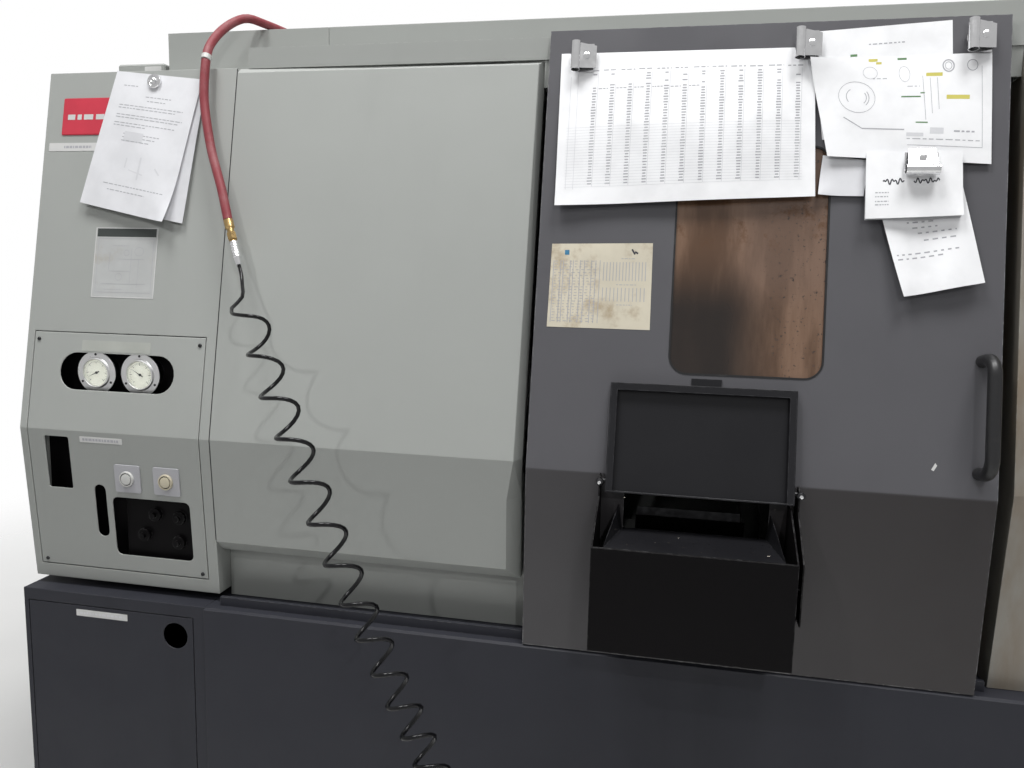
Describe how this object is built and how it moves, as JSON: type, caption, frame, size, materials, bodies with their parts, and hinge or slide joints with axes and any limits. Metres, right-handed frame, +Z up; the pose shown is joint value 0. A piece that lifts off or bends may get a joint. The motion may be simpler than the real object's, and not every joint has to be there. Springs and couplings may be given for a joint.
{
  "type": "cnc turning lathe",
  "caption": "Free-standing bar-fed turning lathe with a folded sheet-metal enclosure, a sliding front door with a parts-catcher box, a gauge column, a slant bed and a turret.",
  "frame": {"origin": "on the floor under the middle of the machine's footprint", "axes": "+X to the operator's right along the spindle, +Y from the front to the back, +Z up"},
  "size_m": [2.5, 1.6755, 1.884],
  "materials": {
    "light_paint": "worn light grey enamel",
    "dark_paint": "dark grey enamel",
    "base_paint": "charcoal enamel, scuffed",
    "black_paint": "near-black enamel",
    "steel": "machined",
    "castings": "painted casting",
    "chrome": "polished",
    "brass": "machined",
    "glass": "stained brown",
    "screen": "glossy dark",
    "white_plastic": "matte",
    "red_plastic": "semi-gloss",
    "green_plastic": "semi-gloss",
    "black_plastic": "matte",
    "red_rubber": "dusty",
    "black_rubber": "satin"
  },
  "bodies": {
    "machine": {"machine_base": "base_paint", "coolant_cabinet": "base_paint", "levelling_foot_1": "steel", "levelling_foot_2": "steel", "levelling_foot_3": "steel", "levelling_foot_4": "steel", "left_column_cover": "light_paint", "gauge_panel": "light_paint", "gauge_back_plate": "black_paint", "pressure_gauge_left": "chrome", "pressure_gauge_right": "chrome", "valve_block": "black_paint", "centre_cover": "light_paint", "lower_guard": "light_paint", "doorway_header": "light_paint", "roof_cover": "light_paint", "back_cover": "light_paint", "left_end_cover": "light_paint", "right_cover": "light_paint", "upper_cover_left": "light_paint", "upper_cover_right": "light_paint", "terminal_box": "light_paint", "door_rail": "steel", "door_guide": "steel", "slant_bed": "castings", "headstock": "castings", "headstock_wall": "light_paint", "chip_tray": "light_paint", "operator_panel": "dark_paint", "control_screen": "screen", "red_hose": "red_rubber", "hose_fitting": "brass", "coil_hose": "black_rubber", "blow_gun": "black_plastic"},
    "door": {"front_door": "dark_paint", "door_window": "glass", "door_handle": "black_plastic", "catcher_box": "black_paint", "catcher_chute": "black_paint"},
    "lid": {"catcher_lid": "black_paint"},
    "cabinet_door": {"cabinet_door": "base_paint"},
    "spindle": {"spindle": "steel", "chuck_body": "steel"},
    "jaw_1": {"chuck_jaw_1": "steel"},
    "jaw_2": {"chuck_jaw_2": "steel"},
    "jaw_3": {"chuck_jaw_3": "steel"},
    "carriage": {"carriage": "castings"},
    "cross_slide": {"cross_slide": "castings"},
    "turret": {"turret_disc": "steel", "turning_tool": "steel", "drill_holder": "steel"},
    "catcher_arm": {"parts_catcher_arm": "steel"},
    "left_knob": {"pressure_knob_left": "white_plastic"},
    "right_knob": {"pressure_knob_right": "white_plastic"},
    "stop_button": {"emergency_stop": "red_plastic"},
    "start_button": {"cycle_start": "green_plastic"},
    "hold_button": {"feed_hold": "red_plastic"},
    "mode_knob": {"mode_knob": "black_plastic"},
    "handwheel": {"pulse_handwheel": "black_plastic"},
    "gun_trigger": {"blow_gun_trigger": "steel"}
  },
  "joints": [
    {"name": "door_slide", "type": "slide", "parent": "machine", "child": "door", "axis": [-1, 0, 0], "range_m": [0, 0.6]},
    {"name": "lid_hinge", "type": "hinge", "parent": "door", "child": "lid", "pos_m": [-0.0325, -0.62773, 0.991], "axis": [1, 0, 0], "range_deg": [0, 136]},
    {"name": "cabinet_hinge", "type": "hinge", "parent": "machine", "child": "cabinet_door", "pos_m": [-1.238, -0.589, 0.3865], "axis": [0, 0, -1], "range_deg": [0, 110]},
    {"name": "spindle_turn", "type": "hinge", "parent": "machine", "child": "spindle", "pos_m": [-1.185, -0.22, 1.08], "axis": [1, 0, 0], "continuous": true},
    {"name": "jaw_1_slide", "type": "slide", "parent": "spindle", "child": "jaw_1", "axis": [0, 0, -1], "range_m": [0, 0.0055]},
    {"name": "jaw_2_slide", "type": "slide", "parent": "spindle", "child": "jaw_2", "axis": [0, 0.866, 0.5], "range_m": [0, 0.0055]},
    {"name": "jaw_3_slide", "type": "slide", "parent": "spindle", "child": "jaw_3", "axis": [0, -0.866, 0.5], "range_m": [0, 0.0055]},
    {"name": "carriage_slide", "type": "slide", "parent": "machine", "child": "carriage", "axis": [1, 0, 0], "range_m": [-0.16, 0.04]},
    {"name": "cross_slide", "type": "slide", "parent": "carriage", "child": "cross_slide", "axis": [0, 0.7071, 0.7071], "range_m": [-0.115, 0.02]},
    {"name": "turret_turn", "type": "hinge", "parent": "cross_slide", "child": "turret", "pos_m": [0.16, -0.02908, 1.27092], "axis": [1, 0, 0], "continuous": true},
    {"name": "catcher_arm_turn", "type": "hinge", "parent": "machine", "child": "catcher_arm", "pos_m": [-0.2077, -0.46, 0.745], "axis": [1, 0, 0], "range_deg": [-50, 0]},
    {"name": "left_pressure_knob", "type": "hinge", "parent": "machine", "child": "left_knob", "pos_m": [-1.001, -0.57307, 0.909], "axis": [0, -1, 0], "range_deg": [-150, 150]},
    {"name": "right_pressure_knob", "type": "hinge", "parent": "machine", "child": "right_knob", "pos_m": [-0.913, -0.57307, 0.909], "axis": [0, -1, 0], "range_deg": [-150, 150]},
    {"name": "stop_press", "type": "slide", "parent": "machine", "child": "stop_button", "axis": [0, 0.9835, -0.181], "range_m": [0, 0.006], "stiffness_N_per_m": 1500},
    {"name": "start_press", "type": "slide", "parent": "machine", "child": "start_button", "axis": [0, 0.9835, -0.181], "range_m": [0, 0.004], "stiffness_N_per_m": 800},
    {"name": "hold_press", "type": "slide", "parent": "machine", "child": "hold_button", "axis": [0, 0.9835, -0.181], "range_m": [0, 0.004], "stiffness_N_per_m": 800},
    {"name": "mode_turn", "type": "hinge", "parent": "machine", "child": "mode_knob", "pos_m": [0.98, -0.60827, 1.15392], "axis": [0, -0.9835, 0.181], "range_deg": [-120, 120]},
    {"name": "handwheel_turn", "type": "hinge", "parent": "machine", "child": "handwheel", "pos_m": [1.075, -0.60556, 1.16867], "axis": [0, -0.9835, 0.181], "continuous": true},
    {"name": "trigger_press", "type": "hinge", "parent": "machine", "child": "gun_trigger", "pos_m": [0.4735, -0.8872, 0.0115], "axis": [0, 0, -1], "range_deg": [0, 5], "stiffness_Nm_per_rad": 0.6}
  ],
  "couplings": [
    {"joint": "jaw_2_slide", "follows": "jaw_1_slide", "ratio": 1},
    {"joint": "jaw_3_slide", "follows": "jaw_1_slide", "ratio": 1}
  ]
}
